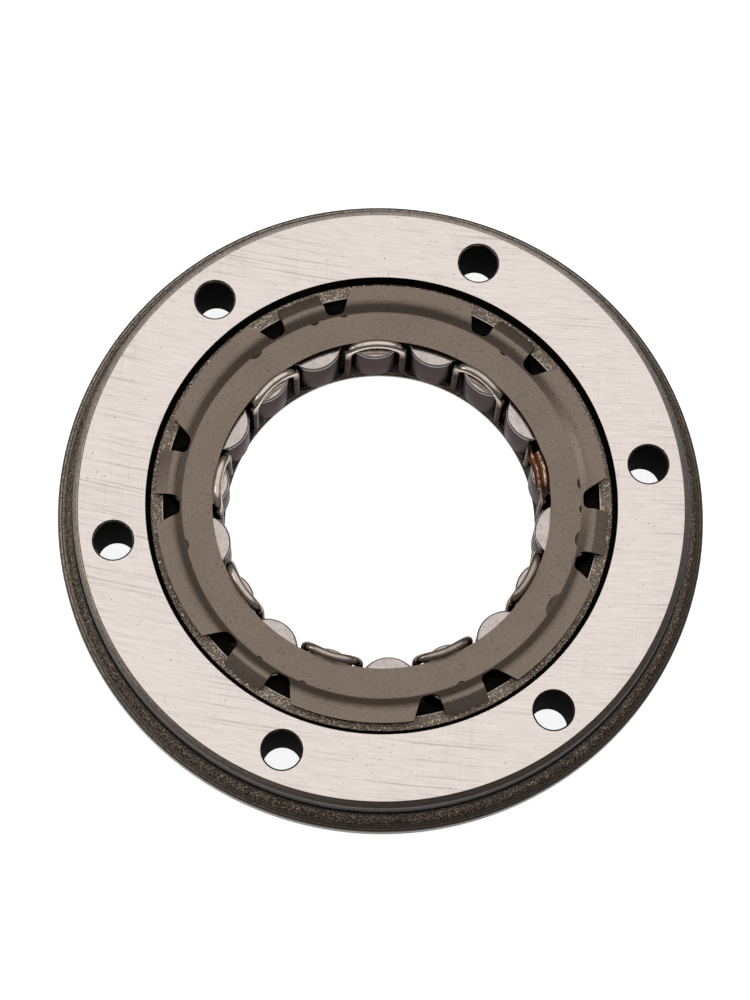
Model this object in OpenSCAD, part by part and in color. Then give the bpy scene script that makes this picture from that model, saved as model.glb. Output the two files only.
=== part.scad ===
// One-way roller clutch for a starter gear, lying on its rear face.
// Z runs up to the bright ground face, and the origin is the centre of the rear face.

/* [Rollers and hub] */
// Diameter of the starter gear's hub that runs inside the rollers
hub_d = 51.1; // [50:0.1:54]
// Number of rollers, one to each ramp, always even
roller_n = 18; // [16:2:18]
// Diameter of a roller
roller_d = 10; // [9.6:0.05:10.2]
// Length of a roller
roller_l = 10; // [8:0.5:14]
// Chamfer round each end of a roller
roller_chamfer = 0.3; // [0.1:0.05:0.6]
// Angle of the first roller from the X axis
roller_phase = 11.7; // [0:0.1:20]

/* [Ramps] */
// Slope of a ramp against the circle of the rollers
ramp_angle = 7.5; // [5:0.5:9]
// Gap between a ramp and its roller when the clutch is about to grip
ramp_gap = 0.03; // [0.02:0.01:0.06]
// How far a roller can roll back from the grip, in degrees about the centre
free_travel = 2.5; // [1.5:0.1:3]
// How much the deep end of a ramp is wider than the roller, on the radius
pocket_slack = 0.35; // [0.25:0.05:0.45]
// Distance of the lobe tips outside the circle of the rollers' centres
lobe_out = 3.15; // [2.8:0.05:3.6]
// How far a ramp goes on past the roller where it grips
pocket_ahead = 0.9; // [0.6:0.05:1.2]
// Room left behind a roller that has rolled right back
pocket_spare = 0.1; // [0.05:0.05:0.3]
// Wall between the deepest point of a ramp and the throat in front of it
throat_wall = 0.265; // [0.1:0.005:0.5]

/* [Outer race] */
// Depth of the ledge below the ground face
ledge_drop = 1.45; // [1:0.05:2]
// Width of the ledge that carries the side plate
ledge_w = 2.1; // [1.8:0.1:3]
// Width of the relief groove round the ledge
groove_w = 0.8; // [0.4:0.1:1.2]
// Depth of the relief groove below the ledge
groove_drop = 1.3; // [0.5:0.1:2]
// Depth of the front end of the lobes below the ledge
lobe_drop = 1.3; // [1:0.1:2]
// Width of the ground face, from its recess to its bevel
face_w = 11.03; // [10:0.01:14]
// Bevel between the ground face and the register
face_bevel = 1; // [0.5:0.1:1.5]
// Length of the smooth register below the bevel
register_l = 3.3; // [2:0.1:4]
// Width of the rough shoulder between the register and the rim
shoulder_w = 1.7; // [1:0.1:2.5]
// Fall of the rough shoulder over its width
shoulder_drop = 2.6; // [1:0.1:3]
// Width of the turned band on top of the rim
rim_w = 1.1; // [0.6:0.1:2]
// Thickness of the rim at its edge
rim_t = 2.4; // [1.5:0.1:3.5]
// How far the wall behind the rim stands out past the register
rear_flare = 0.6; // [0:0.1:1.2]
// Thickness of the rear lip that stops the rollers
lip_t = 0.9; // [0.8:0.05:2]
// Clearance between the rear lip and the hub, on the radius
lip_clearance = 0.55; // [0.4:0.05:1]
// Height of the runout groove between the lobes and the rear lip
runout_h = 1.55; // [1:0.05:2]
// Space between the front ends of the rollers and the side plate
front_play = 0.9; // [0.6:0.05:1.4]
// Chamfer on the small edges of the race
edge_chamfer = 0.3; // [0.1:0.05:0.5]

/* [Bolt holes] */
// Number of bolt holes
bolt_n = 6; // [4:1:8]
// Diameter of a bolt hole
bolt_hole_d = 6.4; // [6:0.1:8]
// Distance of the bolt circle outside the recess of the ground face
bolt_inset = 5.68; // [5.2:0.01:6]
// Angle of the first bolt hole from the X axis
bolt_phase = 8.2; // [0:0.1:60]

/* [Side plate] */
// Thickness of the stamped sheet
sheet_t = 0.9; // [0.6:0.05:1.1]
// How far the plate reaches over the rollers, inwards from their centres
plate_cover = 2.6; // [2.3:0.05:3]
// Distance of the upward step inside the throat
step_inset = 2.95; // [2.7:0.05:3.2]
// Width of the sloping step
step_w = 1.8; // [1.5:0.1:2]
// Rise of the plate's rim above its flat
step_rise = 1.2; // [0.8:0.1:1.4]
// Distance of the plate's rim inside the edge of the ledge
plate_inset = 0.95; // [0.6:0.05:1.2]
// How far the tabs reach out past the raised rim
tab_reach = 0.15; // [0.1:0.05:0.5]
// Inside radius of the bends in the sheet
bend_r = 0.5; // [0.2:0.05:0.6]
// Number of tabs
tab_n = 6; // [3:1:6]
// Width of a tab
tab_w = 7.4; // [6:0.1:8]
// Radius at the foot of the notch on each side of a tab
notch_r = 1.15; // [0.9:0.05:1.4]
// Distance of the notches outside the foot of the step
notch_gap = 0.3; // [0.1:0.05:0.5]
// Lean of the rim's ends away from the tab, in degrees
notch_lean = 39; // [25:1:45]

/* [Accordion spring] */
// Diameter of the spring wire
wire_d = 1.5; // [1.2:0.05:1.6]
// Clearance between the front bends of the spring and the side plate
bend_clearance = 0.05; // [0.03:0.01:0.2]
// Clearance between the rear bends and the rear lip
rear_clearance = 0.05; // [0.03:0.01:0.2]
// Clearance between the rear bends and the rollers
rear_play = 0.2; // [0.15:0.05:0.5]
// Distance of the spring's legs outside the hub
leg_offset = 1.35; // [1.25:0.05:1.5]
// Half the angle that a front bend spans
front_half = 9.25; // [9:0.05:9.5]
// Half the angle that a rear bend spans
rear_half = 10; // [9.8:0.05:10.2]
// Height of a front bend
front_h = 4; // [3:0.1:4.5]
// Height of a rear bend
rear_h = 2.4; // [2:0.1:2.8]
// How far the front bends swing outwards over the plate
front_bulge = 0.45; // [0.2:0.05:0.6]
// How far the rear bends swing inwards
rear_bulge = 0.2; // [0:0.05:0.3]
// How square the front bends are, where 2 gives half ellipses
front_square = 3; // [2:0.1:4]
// How square the rear bends are, so that the wire clears the edges of the rollers
rear_square = 4; // [3.5:0.1:5]

/* [Lapped joint of the spring] */
// How far the inner strand lies inside the outer one
lap_in = 0.8; // [0.7:0.05:1]
// How far the inner strand lies below the outer one
lap_down = 1.7; // [1.6:0.05:2]
// Radius of the braze bead along the seam
bead_r = 0.28; // [0.2:0.01:0.35]
// Gap between the braze bead and the strands
bead_gap = 0.02; // [0.01:0.01:0.05]

/* [Hidden] */
roller_names = ["roller_01", "roller_02", "roller_03", "roller_04", "roller_05", "roller_06",
                "roller_07", "roller_08", "roller_09", "roller_10", "roller_11", "roller_12",
                "roller_13", "roller_14", "roller_15", "roller_16", "roller_17", "roller_18"];
$fn = 96;

// How far a cut runs past the faces that it opens, and how many lines round one bend of the sheet
cut = 1;
bend_lines = 3;

// Circle of the rollers
pitch = 360 / roller_n;
hub_r = hub_d / 2;
roller_r = roller_d / 2;
centre_r = hub_r + roller_r;

// Ramp pockets, each the trace of a circle that moves along a line of slope ramp_angle
pocket_r = roller_r + pocket_slack;
pocket_back = centre_r * sin(free_travel) + pocket_spare;
pocket_in = pocket_slack - ramp_gap;

// Radii of the race, from the throat outwards
deep_x = pocket_back * cos(ramp_angle) + pocket_in * sin(ramp_angle);
deep_y = centre_r + pocket_back * sin(ramp_angle) - pocket_in * cos(ramp_angle);
throat_r = norm([deep_x, deep_y]) + pocket_r + throat_wall;
lobe_tip_r = centre_r + lobe_out;
ledge_r = throat_r + ledge_w;
recess_r = ledge_r + groove_w;
face_r = recess_r + face_w;
register_r = face_r + face_bevel;
shoulder_r = register_r + shoulder_w;
rim_r = shoulder_r + rim_w;
rear_r = register_r + rear_flare;
lip_r = hub_r + lip_clearance;
bolt_circle_r = recess_r + bolt_inset;

// Heights of the race, stacked up from the rear face
wire_r = wire_d / 2;
lip_z = lip_t;
roller_z = lip_z + rear_clearance + wire_d + rear_play;
roller_end_z = roller_z + roller_l;
ledge_z = roller_end_z + front_play;
race_t = ledge_z + ledge_drop;
lobe_z = lip_z + runout_h;
lobe_end_z = ledge_z - lobe_drop;
register_z = race_t - face_bevel - register_l;
rim_z = register_z - shoulder_drop;

// Side plate, whose flat and tab tips lie on the height of the ledge
plate_z = ledge_z + sheet_t;
plate_bore_r = centre_r - plate_cover;
step_r = throat_r - step_inset;
plate_r = ledge_r - plate_inset;
tab_r = plate_r + tab_reach;
notch_u = tab_w / 2 + notch_r;
notch_foot_r = step_r + notch_gap + notch_r;

// Accordion spring, which holds a roller between each two legs
leg_r = hub_r + leg_offset;
front_apex = plate_z + bend_clearance + wire_r;
rear_apex = lip_z + wire_r + rear_clearance;
wire_sides = 10;
bend_step = 15;
bead_sides = 8;
swing_power = 1.5;

// The lap, in shares of the half width of the first bend
lap_start = -0.55;
lap_end = 0.6;
lap_ease = 0.3;
bead_start = -0.45;
bead_end = 0.55;
bead_step = 0.2;

function unit(v) = v / norm(v);
function turned(v, a) = [v[0] * cos(a) - v[1] * sin(a), v[0] * sin(a) + v[1] * cos(a)];
function polar(r, a, z) = [r * cos(a), r * sin(a), z];

// One bend at b in the upper side of a sheet of thickness t, with inside radius r, in n steps
function bend(a, b, c, r, t, n) =
    let (side = sign(cross(b - a, c - b)), arc_r = side > 0 ? r : r + t)
    let (u = unit(a - b), v = unit(c - b), h = acos(u * v) / 2)
    let (centre = b + unit(u + v) * arc_r / sin(h), from = b + u * arc_r / tan(h) - centre)
    [for (k = [0:n]) centre + turned(from, side * k / n * (180 - 2 * h))];

// The upper side of a bent sheet, with each of its inner corners rounded
function bent(p, r, t, n) =
    let (last = len(p) - 1)
    concat([p[0]], [for (i = [1:last - 1]) each bend(p[i - 1], p[i], p[i + 1], r, t, n)], [p[last]]);

// Left-hand normal of a path at point i, long enough to keep an even thickness
function left_normal(p, i) =
    let (before = turned(unit(p[max(i, 1)] - p[max(i, 1) - 1]), 90))
    let (after = turned(unit(p[min(i + 1, len(p) - 1)] - p[min(i, len(p) - 2)]), 90))
    let (middle = unit(before + after))
    middle / (middle * before);

// The outline of a sheet of thickness t below a path, out along the underside and back along the path
function sheet(p, t) =
    concat([for (i = [0:len(p) - 1]) p[i] - left_normal(p, i) * t], [for (i = [len(p) - 1:-1:0]) p[i]]);

// Ring body with its ledge, throat, relief groove and rear lip, before the ramps are cut
module race_blank() {
    rotate_extrude()
        polygon([
            [lip_r + edge_chamfer, 0], [rear_r - edge_chamfer, 0], [rear_r, edge_chamfer],
            [rear_r, rim_z - rim_t], [rim_r - edge_chamfer, rim_z - rim_t], [rim_r, rim_z - rim_t + edge_chamfer],
            [rim_r, rim_z], [shoulder_r, rim_z], [register_r, register_z],
            [register_r, race_t - face_bevel], [face_r, race_t], [recess_r, race_t],
            [recess_r, ledge_z - groove_drop], [ledge_r, ledge_z - groove_drop],
            [ledge_r, ledge_z - edge_chamfer / 2], [ledge_r - edge_chamfer / 2, ledge_z],
            [throat_r + edge_chamfer / 2, ledge_z], [throat_r, ledge_z - edge_chamfer / 2],
            [throat_r, lobe_end_z], [lobe_tip_r, lobe_end_z], [lobe_tip_r, lobe_z],
            [throat_r, lobe_z], [throat_r, lip_z], [lip_r, lip_z], [lip_r, edge_chamfer]
        ]);
}

// One ramp pocket at the top of the Y axis, narrowing towards +angle, which is -X here
module ramp_pocket() {
    translate([0, centre_r, lobe_z - cut / 2])
        rotate(ramp_angle)
            linear_extrude(lobe_end_z - lobe_z + cut) {
                translate([pocket_back, -pocket_in])
                    circle(pocket_r);
                translate([-pocket_ahead, -pocket_in])
                    circle(pocket_r);
                translate([-pocket_ahead, -pocket_in - pocket_r])
                    square([pocket_back + pocket_ahead, 2 * pocket_r]);
            }
}

// One bolt hole with a small chamfer at each mouth
module bolt_hole() {
    translate([0, 0, -cut])
        cylinder(d = bolt_hole_d, h = race_t + 2 * cut);
    translate([0, 0, race_t - edge_chamfer])
        cylinder(d1 = bolt_hole_d, d2 = bolt_hole_d + 4 * edge_chamfer, h = 2 * edge_chamfer);
    translate([0, 0, -edge_chamfer])
        cylinder(d1 = bolt_hole_d + 4 * edge_chamfer, d2 = bolt_hole_d, h = 2 * edge_chamfer);
}

// Outer race, with a ramp for each roller and six plain holes through its ground face
module outer_race() {
    color("#b8b0a8")
        difference() {
            race_blank();
            for (i = [0:roller_n - 1])
                rotate(roller_phase + i * pitch - 90)
                    ramp_pocket();
            for (i = [0:bolt_n - 1])
                rotate(bolt_phase + i * 360 / bolt_n)
                    translate([bolt_circle_r, 0, 0])
                        bolt_hole();
        }
}

// Path of the sheet's upper side through the raised rim
rim_path = [[plate_bore_r, plate_z], [step_r, plate_z], [step_r + step_w, plate_z + step_rise],
            [plate_r, plate_z + step_rise]];
// Path of the sheet's upper side through a tab, which comes down again to the ledge
tab_path = [[plate_bore_r, plate_z], [step_r, plate_z], [step_r + step_w, plate_z + step_rise],
            [tab_r, plate_z]];

// The window that frees one tab, seen from above with the tab along +X
module tab_window() {
    for (s = [-1, 1]) {
        far = plate_r + cut;
        reach = notch_r / cos(notch_lean) + (far - notch_foot_r) * tan(notch_lean);
        translate([notch_foot_r, s * notch_u])
            circle(notch_r);
        polygon([
            [notch_foot_r, 0], [notch_foot_r, s * notch_u],
            [notch_foot_r - notch_r * sin(notch_lean), s * (notch_u + notch_r * cos(notch_lean))],
            [far, s * (notch_u + reach)], [far, 0]
        ]);
    }
}

// Side plate, whose six tabs rest on the ledge and whose bore overhangs the rollers
module side_plate() {
    color("#85786d") {
        difference() {
            rotate_extrude()
                polygon(sheet(bent(rim_path, bend_r, sheet_t, bend_lines), sheet_t));
            for (i = [0:tab_n - 1])
                rotate(roller_phase + 2 * pitch + i * 360 / tab_n)
                    translate([0, 0, ledge_z - cut])
                        linear_extrude(sheet_t + step_rise + 2 * cut)
                            tab_window();
        }
        for (i = [0:tab_n - 1])
            rotate(roller_phase + 2 * pitch + i * 360 / tab_n)
                intersection() {
                    rotate_extrude()
                        polygon(sheet(bent(tab_path, bend_r, sheet_t, bend_lines), sheet_t));
                    translate([step_r - cut / 2, -tab_w / 2, ledge_z - cut])
                        cube([tab_r, tab_w, sheet_t + step_rise + 2 * cut]);
                }
    }
}

// A round bar of many sides swept along a path near the roller circle
module wire(p, r, sides) {
    n = len(p);
    rings = [
        for (i = [0:n - 1])
            let (along = unit(p[min(i + 1, n - 1)] - p[max(i - 1, 0)]))
            let (out = unit([p[i][0], p[i][1], 0]))
            let (across = unit(out - along * (out * along)), up = cross(along, across))
            for (k = [0:sides - 1])
                p[i] + r * (across * cos(k * 360 / sides) + up * sin(k * 360 / sides))
    ];
    walls = [
        for (i = [0:n - 2], k = [0:sides - 1])
            [i * sides + k, (i + 1) * sides + k, (i + 1) * sides + (k + 1) % sides, i * sides + (k + 1) % sides]
    ];
    first = [for (k = [0:sides - 1]) k];
    last = [for (k = [sides - 1:-1:0]) (n - 1) * sides + k];
    polyhedron(rings, concat([first], walls, [last]), convexity = 10);
}

// A point on bend i of the spring, where x runs from -1 to 1 over the bend
function bend_point(i, x, drop = 0, inward = 0) =
    let (front = i % 2 == 0, square = front ? front_square : rear_square)
    let (rise = pow(1 - pow(abs(x), square), 1 / square))
    let (swing = (front ? front_bulge : -rear_bulge) * (1 - pow(abs(x), swing_power)))
    let (z = front ? front_apex - front_h + (front_h - drop) * rise : rear_apex + rear_h * (1 - rise))
    let (turn = roller_phase + i * pitch + (front ? front_half : rear_half) * x)
    polar(leg_r + swing - inward * min(1, (1 - abs(x)) / lap_ease), turn, z);

// Steps along one bend, close together where the wire turns into its legs
function bend_steps(square) =
    [for (a = [0:bend_step:180]) -sign(cos(a)) * pow(abs(cos(a)), 2 / square)];
front_steps = bend_steps(front_square);
rear_steps = bend_steps(rear_square);

// The lapped strand below the first bend, then every other bend, then the strand above it
lower_steps = concat([lap_start], [for (x = front_steps) if (x > lap_start) x]);
upper_steps = concat([for (x = front_steps) if (x < lap_end) x], [lap_end]);
lower_lap = [for (x = lower_steps) bend_point(0, x, lap_down, lap_in)];
all_bends = [for (i = [1:roller_n - 1], x = i % 2 == 0 ? front_steps : rear_steps) bend_point(i, x)];
upper_lap = [for (x = upper_steps) bend_point(0, x)];

// Accordion spring, one wire bent to and fro between the rollers, its ends lapped
module accordion_spring() {
    color("#8f8a86")
        wire(concat(lower_lap, all_bends, upper_lap), wire_r, wire_sides);
}

// Middle of the braze bead on one side of the seam between the lapped strands
function bead_point(x, side) =
    let (a = bend_point(0, x), b = bend_point(0, x, lap_down, lap_in))
    let (along = unit(bend_point(0, x + 0.02) - bend_point(0, x - 0.02)))
    let (out = unit(cross(b - a, along)), away = wire_r + bead_r + bead_gap)
    (a + b) / 2 + side * out * sqrt(away * away - (b - a) * (b - a) / 4);

// Braze that runs along both sides of the seam between the lapped ends of the wire
module braze_joint() {
    color("#9a5a34")
        for (side = [-1, 1])
            wire([for (x = [bead_start:bead_step:bead_end]) bead_point(x, side)], bead_r, bead_sides);
}

// One roller with ground ends
module roller(i) {
    color("#d8d4d0")
        rotate(roller_phase + i * pitch)
            translate([centre_r, 0, roller_z])
                rotate_extrude()
                    polygon([
                        [0, 0], [roller_r - roller_chamfer, 0], [roller_r, roller_chamfer],
                        [roller_r, roller_l - roller_chamfer], [roller_r - roller_chamfer, roller_l], [0, roller_l]
                    ]);
}

outer_race();
side_plate();
accordion_spring();
braze_joint();
for (i = [0:roller_n - 1])
    roller(i);
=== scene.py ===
import math
import random

import bmesh
import bpy
from bpy.props import FloatProperty, FloatVectorProperty, IntProperty, PointerProperty
from mathutils import Matrix, Vector


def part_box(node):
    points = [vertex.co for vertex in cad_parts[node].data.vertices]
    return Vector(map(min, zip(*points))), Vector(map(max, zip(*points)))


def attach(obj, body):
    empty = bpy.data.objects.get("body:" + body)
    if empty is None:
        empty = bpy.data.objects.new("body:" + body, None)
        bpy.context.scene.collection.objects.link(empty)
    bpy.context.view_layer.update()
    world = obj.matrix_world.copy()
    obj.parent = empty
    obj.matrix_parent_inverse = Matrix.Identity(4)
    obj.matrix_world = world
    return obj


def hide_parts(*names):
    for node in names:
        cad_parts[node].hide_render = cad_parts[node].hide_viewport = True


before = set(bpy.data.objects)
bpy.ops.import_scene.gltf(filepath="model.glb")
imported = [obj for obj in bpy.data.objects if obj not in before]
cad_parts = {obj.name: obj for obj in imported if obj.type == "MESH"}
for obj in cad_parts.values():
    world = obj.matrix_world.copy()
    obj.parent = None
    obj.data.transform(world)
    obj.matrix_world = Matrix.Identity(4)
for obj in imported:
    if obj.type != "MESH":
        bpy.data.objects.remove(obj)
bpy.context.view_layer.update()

bl_info = {
    "name": "Starter Clutch",
    "version": (1, 0, 0),
    "blender": (4, 5, 0),
    "location": "View3D > Sidebar > Clutch",
    "description": "Dresses a one-way roller clutch and sets it on a pale studio floor",
    "category": "Object",
}

MM = 0.001
MICRON = MM / 1000
ROLLERS = sorted(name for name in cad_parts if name.startswith("roller_"))
RACE_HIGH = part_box("outer_race")[1]
PLATE_LOW, PLATE_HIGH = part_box("side_plate")
ROLLER_LOW, ROLLER_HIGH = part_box(ROLLERS[0])
ROLLER_MIDDLE = (ROLLER_LOW + ROLLER_HIGH) / 2
CENTRE_R = math.hypot(ROLLER_MIDDLE.x, ROLLER_MIDDLE.y)
ROLLER_R = (ROLLER_HIGH.x - ROLLER_LOW.x) / 2
PHASE = math.atan2(ROLLER_MIDDLE.y, ROLLER_MIDDLE.x)
PITCH = math.tau / len(ROLLERS)
GROUND, FORGED, TURNED, FINE, BLASTED, OIL_AND_SHADE, DRILLED_SHADE, BEVELLED = range(8)
SHEARED_SHADE, PRESS_MARK_SHADE = 1, 2
END, SIDE, EDGE = range(3)


def linear(colour):
    """Turns an sRGB hex colour into linear red, green and blue."""
    parts = [int(colour[i:i + 2], 16) / 255 for i in (1, 3, 5)]
    return tuple(p / 12.92 if p <= 0.04045 else ((p + 0.055) / 1.055) ** 2.4 for p in parts)


def length(name, description, mm):
    """A length that a user can change, with its default in millimetres."""
    return FloatProperty(name=name, description=description, default=mm * MM, unit="LENGTH", precision=5)


def number(name, description, value):
    """A plain number that a user can change."""
    return FloatProperty(name=name, description=description, default=value)


def count(name, description, value):
    """A whole number that a user can change."""
    return IntProperty(name=name, description=description, default=value)


def angle(name, description, degrees):
    """An angle that a user can change, with its default in degrees."""
    return FloatProperty(name=name, description=description, default=math.radians(degrees), subtype="ANGLE")


def tint(name, description, colour):
    """A colour that a user can change, with its default as sRGB hex."""
    return FloatVectorProperty(name=name, description=description, default=linear(colour), subtype="COLOR")


class RaceSettings(bpy.types.PropertyGroup):
    """Sizes of the outer race."""
    lip_r: length("Lip bore", "Radius of the bore in the rear lip", 26.1)
    lip_t: length("Lip thickness", "Thickness of the rear lip", 0.9)
    lobe_tip_r: length("Lobe tips", "Radius of the tips between the ramps", 33.7)
    lobe_low_z: length("Lobe foot", "Height of the lower end of the lobes", 2.45)
    lobe_top_z: length("Lobe top", "Height of the upper end of the lobes", 12.25)
    throat_r: length("Throat", "Radius of the wall above the lobes", 36.07)
    ledge_r: length("Ledge", "Outer radius of the ledge under the side plate", 38.17)
    groove_r: length("Relief groove", "Outer radius of the groove round the ledge", 38.97)
    groove_z: length("Groove floor", "Height of the floor of the relief groove", 12.25)
    face_r: length("Ground face", "Outer radius of the ground face", 50)
    register_r: length("Register", "Radius of the smooth band below the face", 51)
    register_z: length("Register foot", "Height of the lower end of the register", 10.7)
    shoulder_r: length("Shoulder", "Outer radius of the rough shoulder", 52.7)
    rim_z: length("Rim top", "Height of the turned band on the rim", 8.1)
    rim_low_z: length("Rim foot", "Height of the lower face of the rim", 5.7)
    rear_r: length("Rear wall", "Radius of the wall behind the rim", 51.6)
    bolt_circle_r: length("Bolt circle", "Radius of the circle of the bolt holes", 44.65)
    bolt_r: length("Bolt hole", "Radius of a bolt hole", 3.2)
    bolt_phase: angle("First bolt hole", "Angle of the first bolt hole", 8.2)
    bolt_n: count("Bolt holes", "Number of bolt holes", 6)
    chamfer: length("Chamfer", "Chamfer on small edges", 0.3)
    ramp_angle: angle("Ramp slope", "Slope of a ramp against the circle of the rollers", 7.5)
    ramp_gap: length("Ramp gap", "Gap between a ramp and its roller", 0.03)
    pocket_slack: length("Pocket slack", "How much a pocket's radius is over the roller's", 0.35)
    pocket_back: length("Pocket behind", "Reach of a pocket behind its roller", 1.433)
    pocket_ahead: length("Pocket ahead", "Reach of a pocket past the grip", 0.9)
    steps: count("Race steps", "Steps round the race", 360)


class PlateSettings(bpy.types.PropertyGroup):
    """Sizes of the stamped side plate."""
    sheet_t: length("Sheet", "Thickness of the sheet", 0.9)
    bore_r: length("Plate bore", "Radius of the plate's bore", 27.95)
    step_r: length("Step foot", "Radius of the foot of the step", 32.92)
    foot_ease: length("Foot bend", "How far the bend at the foot of the step reaches", 0.2)
    bend_w: length("Step bend", "Distance of the bend in the step from its foot", 1.3)
    bend_rise: length("Step bend height", "Height of the bend in the step over the flat", 0.86)
    step_w: length("Step width", "Width of the step", 2.25)
    crest_w: length("Tab crest", "Distance of a tab's crest from the foot of the step", 2.15)
    rim_r: length("Plate rim", "Outer radius of the raised rim", 37.22)
    tab_reach: length("Tab reach", "How far a tab reaches past the rim", 0.15)
    tab_n: count("Tabs", "Number of tabs", 6)
    tab_w: length("Tab width", "Width of a tab", 7.4)
    notch_r: length("Notch", "Radius at the foot of a notch", 1.15)
    notch_flat: length("Notch flat", "Straight length between the two roundings of a notch", 1.1)
    notch_foot_r: length("Notch place", "Distance of the centre of a notch's foot from the axis", 34.1)
    notch_lean: angle("Notch lean", "Lean of the rim's ends", 39)
    step_ease: length("Step ease", "How far the bend in the step reaches", 0.3)
    crest_ease: length("Crest ease", "How far the bends at the top of the step and of the tabs reach", 0.45)
    nick_depth: length("Press mark", "Depth of a press mark", 0.35)
    nick_flat: number("Press mark width", "Share of a press mark's length", 0.48)
    bend_steps: count("Bend steps", "Steps across each bend of the sheet", 9)
    steps: count("Plate steps", "Steps round the plate", 360)


class SpringSettings(bpy.types.PropertyGroup):
    """Sizes of the accordion spring."""
    wire_r: length("Wire", "Radius of the spring wire", 0.75)
    leg_r: length("Legs", "Distance of the legs from the axis", 26.9)
    front_half: angle("Half front bend", "Half the angle that a front bend spans", 9.9)
    rear_half: angle("Half rear bend", "Half the angle that a rear bend spans", 10)
    front_h: length("Front bend height", "Height of a front bend", 4)
    rear_h: length("Rear bend height", "Height of a rear bend", 2.4)
    front_square: number("Front squareness", "2 gives half ellipses", 3)
    rear_square: number("Rear squareness", "2 gives half ellipses", 4)
    front_z: length("Front bends", "Height of the middle of the wire in a front bend", 15.21)
    rear_z: length("Rear bends", "Height of the middle of the wire in a rear bend", 1.7)
    front_bulge: length("Front swing", "How far a front bend swings outwards", 0.45)
    rear_bulge: length("Rear swing", "How far a rear bend swings inwards", 0.2)
    lap_in: length("Lap inwards", "How far the inner lapped strand lies inside", 0.8)
    lap_down: length("Lap down", "How far the inner lapped strand lies below", 1.7)
    lap_start: number("Lap start", "Where the lower strand starts on its bend", -0.55)
    lap_end: number("Lap end", "Where the upper strand ends on its bend", 0.6)
    lap_ease: number("Lap ease", "Share of the bend that eases into the lap", 0.3)
    bead_r: length("Braze bead", "Radius of the braze bead", 0.3)
    unevenness: length("Unevenness", "How much one bend differs from the next", 0.07)


class RollerSettings(bpy.types.PropertyGroup):
    """Sizes of the rollers."""
    chamfer: length("Roller chamfer", "Chamfer round each end of a roller", 0.3)
    rounding: length("Roller rounding", "Rounding of the chamfer's edges", 0.08)
    steps: count("Roller steps", "Steps round a roller", 72)


class FinishSettings(bpy.types.PropertyGroup):
    """Colours of the finishes."""
    ground: tint("Ground face", "Freshly ground steel", "#F3E8E1")
    ground_deep: tint("Grinding marks", "Grinding marks and duller patches", "#CDC1B9")
    pit: tint("Pits", "Small pits in ground steel", "#85776F")
    forged: tint("Forged skin", "Dark skin of the forging", "#1F1B18")
    forged_worn: tint("Worn skin", "Grains of the skin that have rubbed bare", "#B39D89")
    ledge: tint("Ledge", "Blasted steel of the ledge", "#85776A")
    ledge_worn: tint("Worn ledge", "Bright grains of the ledge", "#EAD5C0")
    turned: tint("Turned rim", "Steel as turned, with a brown film", "#3D352E")
    # Crest colour, which painted light lets show more on the far left than on the near right.
    turned_bright: tint("Turning marks", "Bright crests of the turning marks", "#CBBDAF")
    register: tint("Register", "Fine turned band below the face", "#9A969A")
    # Painted shade, with oil, for grooves, pockets and corners.
    hollow: tint("Hollow", "Oily steel down in grooves and pockets", "#161311")
    # Painted shade: the bolt hole walls are painted black.
    hole: tint("Hole wall", "Black wall of a drilled bolt hole", "#070606")
    sheet: tint("Sheet", "Phosphated sheet steel", "#8A7B6F")
    sheet_dark: tint("Sheet grain", "Darker grain of phosphated sheet", "#665A50")
    # Painted shade in the press marks.
    sheet_press_shade: tint("Press mark", "Painted shade in a press mark", "#5F5145")
    wire: tint("Wire", "Bright drawn wire", "#DCCFC4")
    # Real stains, and also the darker tone that painted light leaves on the near right of the wire.
    wire_stain_and_shade: tint("Wire stain", "Stains on the wire", "#85776B")
    # Painted shade that darkens the lower legs of the wire.
    wire_leg_shade: tint("Leg shade", "Painted shade on the legs of the wire", "#3C3532")
    # Colour of the painted highlight on the braze.
    braze: tint("Braze", "Painted highlight on the copper braze", "#E6C4AC")
    braze_dark: tint("Scorched braze", "Braze and flux that have scorched", "#543424")
    roller_end: tint("Roller end", "Ground end of a roller", "#CCC1BC")
    roller_blotch: tint("Roller blotches", "Grey blotches on a roller's end", "#AEA49F")
    roller_edge: tint("Roller edge", "Bright chamfer of a roller", "#C8C0BB")
    # Partly the roller's own tone, partly a painted reflection of dark surroundings.
    roller_side: tint("Roller side", "Hardened and polished side of a roller", "#5C5656")


class StageSettings(bpy.types.PropertyGroup):
    """Floor, lamps and camera."""
    floor_size: length("Floor", "Side of the square floor", 4000)
    camera_x: length("Camera X", "Camera across", -14.65)
    camera_y: length("Camera Y", "Camera along", -155.06)
    camera_z: length("Camera Z", "Camera height", 596.14)
    aim_x: length("Aim X", "Point that the camera looks at, across", -1.14)
    aim_y: length("Aim Y", "Point that the camera looks at, along", 0.34)
    aim_z: length("Aim Z", "Point that the camera looks at, height", 15)
    roll: angle("Roll", "Turn of the camera about its own line of sight", 4.65)
    lens: number("Lens", "Focal length in millimetres", 131.4)
    left_energy: number("Left lamp", "Power of the left softbox in watts", 0.65)
    right_energy: number("Right lamp", "Power of the right softbox in watts", 0.12)
    lamp_width: length("Lamp width", "Side of each softbox", 300)
    sky: number("Sky", "Strength of the studio's own light overhead", 1.0)
    sky_tilt: angle("Sky tilt", "How far the brightest part of the studio leans to the far side", 14)
    horizon: number("Horizon", "Strength of the studio's own light low down", 0.16)
    floor_glow: number("Floor glow", "Own light of the floor, to the camera and the metal", 0.88)


SETTINGS = {
    "race": RaceSettings, "plate": PlateSettings, "spring": SpringSettings,
    "roller": RollerSettings, "finish": FinishSettings, "stage": StageSettings,
}


class ClutchSettings(bpy.types.PropertyGroup):
    """All the settings of the clutch."""
    __annotations__ = {name: PointerProperty(type=group) for name, group in SETTINGS.items()}


# Mesh helpers

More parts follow.
